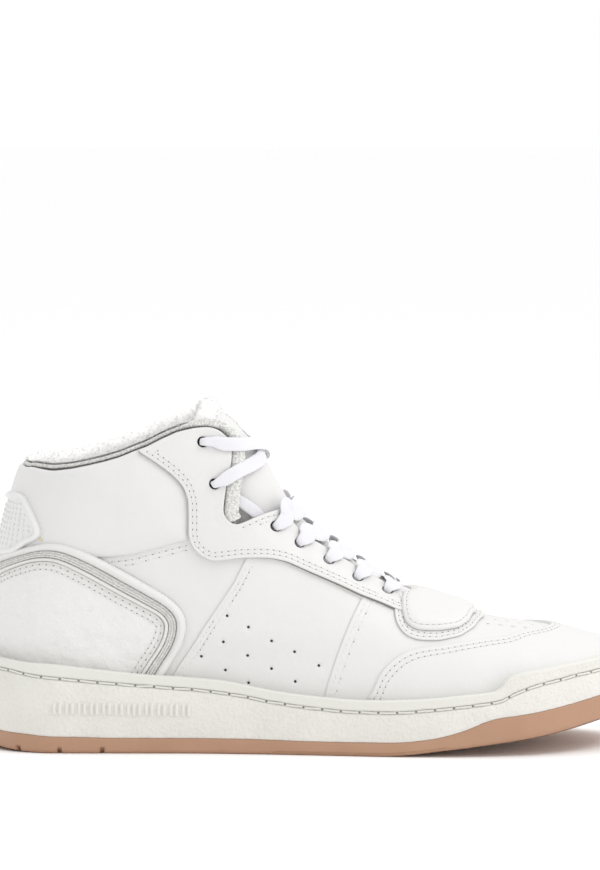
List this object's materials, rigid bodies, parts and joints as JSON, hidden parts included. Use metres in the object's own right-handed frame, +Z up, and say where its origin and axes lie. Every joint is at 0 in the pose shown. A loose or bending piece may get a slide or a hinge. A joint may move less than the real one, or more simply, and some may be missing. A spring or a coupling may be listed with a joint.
{
  "type": "high-top basketball shoe",
  "caption": "High-top leather basketball shoe, right foot: padded ankle collar, flat laces, perforated quarter, stitched rubber cupsole with a gum outsole.",
  "frame": {"origin": "middle of the footprint on the ground plane (bounding box bottom centre)", "axes": "+X to the toe, +Y to the medial (inner) side, +Z up; right shoe, lateral side faces -Y"},
  "size_m": [0.3, 0.1063, 0.1567],
  "materials": {
    "smooth_leather": "smooth full-grain, satin",
    "tumbled_leather": "tumbled, soft wrinkles",
    "edge_leather": "satin, rolled or cut edges",
    "sidewall_rubber": "fine pebble texture, matt",
    "gum_rubber": "gum, satin",
    "terry": "looped terry",
    "knit": "ribbed knit",
    "foam": "open-cell foam",
    "board": "fibre insole board",
    "stiffener": "thermoformed counter sheet",
    "thread": "waxed thread",
    "lace_cotton": "flat woven",
    "moulded_tab": "moulded, satin",
    "clear_tip": "clear film"
  },
  "bodies": {
    "upper": {"outsole": "gum_rubber", "cupsole": "sidewall_rubber", "sole_stitch": "thread", "midsole_foam": "foam", "strobel_board": "board", "eyestay_lateral": "smooth_leather", "eyestay_backing_lateral": "edge_leather", "collar_panel_lateral": "smooth_leather", "rear_quarter_lateral": "smooth_leather", "quarter_lateral": "smooth_leather", "side_panel_lateral": "smooth_leather", "collar_foam_lateral": "foam", "eyestay_medial": "smooth_leather", "eyestay_backing_medial": "edge_leather", "collar_panel_medial": "smooth_leather", "rear_quarter_medial": "smooth_leather", "quarter_medial": "smooth_leather", "side_panel_medial": "smooth_leather", "collar_foam_medial": "foam", "vamp": "smooth_leather", "mudguard": "smooth_leather", "throat_patch_base": "edge_leather", "throat_patch": "smooth_leather", "toe_puff": "stiffener", "heel_counter": "stiffener", "vamp_lining": "terry", "heel_roll": "edge_leather", "heel_knit_band": "knit", "heel_piping": "edge_leather", "heel_panel": "tumbled_leather", "heel_tab": "moulded_tab", "heel_tab_backing": "edge_leather", "collar_binding": "knit", "collar_lining": "terry", "lace": "lace_cotton", "aglet_medial": "clear_tip", "aglet_lateral": "clear_tip"},
    "tongue": {"tongue_cover": "smooth_leather", "tongue_foam": "foam", "tongue_lining": "terry", "tongue_top_roll": "terry"},
    "sockliner": {"sockliner": "terry"}
  },
  "joints": [
    {"name": "tongue_press", "type": "hinge", "parent": "upper", "child": "tongue", "pos_m": [0.053, 0, 0.0595], "axis": [0, 1, 0], "range_deg": [-4, 0], "stiffness_Nm_per_rad": 3},
    {"name": "sockliner_lift", "type": "hinge", "parent": "upper", "child": "sockliner", "pos_m": [0.1345, 0, 0.0295], "axis": [0, 1, 0], "range_deg": [0, 8]}
  ]
}
